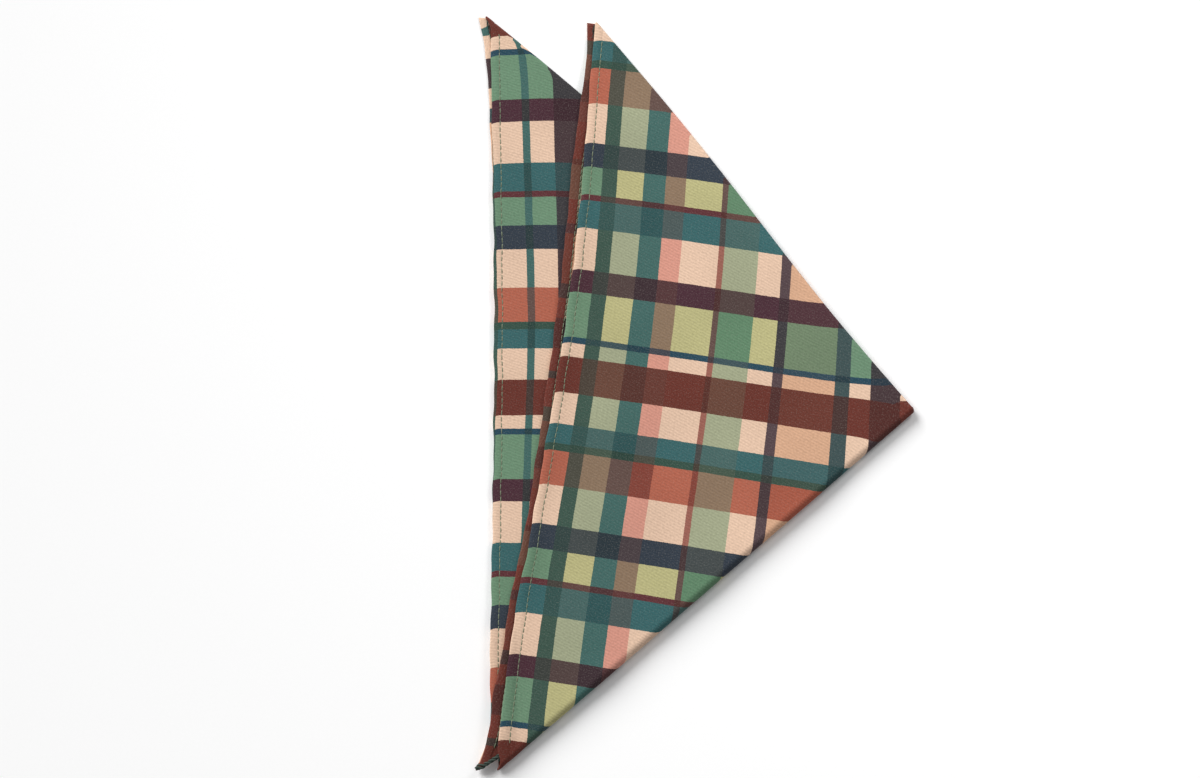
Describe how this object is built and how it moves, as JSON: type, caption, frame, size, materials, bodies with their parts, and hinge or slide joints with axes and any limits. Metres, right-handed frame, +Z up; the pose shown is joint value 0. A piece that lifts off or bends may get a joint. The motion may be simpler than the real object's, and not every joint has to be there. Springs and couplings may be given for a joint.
{
  "type": "folded cotton handkerchief",
  "caption": "Square plaid cotton handkerchief with a narrow stitched hem, folded twice into a four-layer triangle that lies flat.",
  "frame": {"origin": "centre of the bounding box at the level it rests on", "axes": "+Z up through the four layers, +Y along the long side where the hems lie together, +X from that side towards the folded corner"},
  "size_m": [0.1928, 0.3304, 0.0069],
  "materials": {
    "cotton": "matt printed cotton twill, plaid in green, teal, peach, orange, brown and navy"
  },
  "bodies": {
    "root": {"handkerchief": "cotton"}
  },
  "joints": []
}
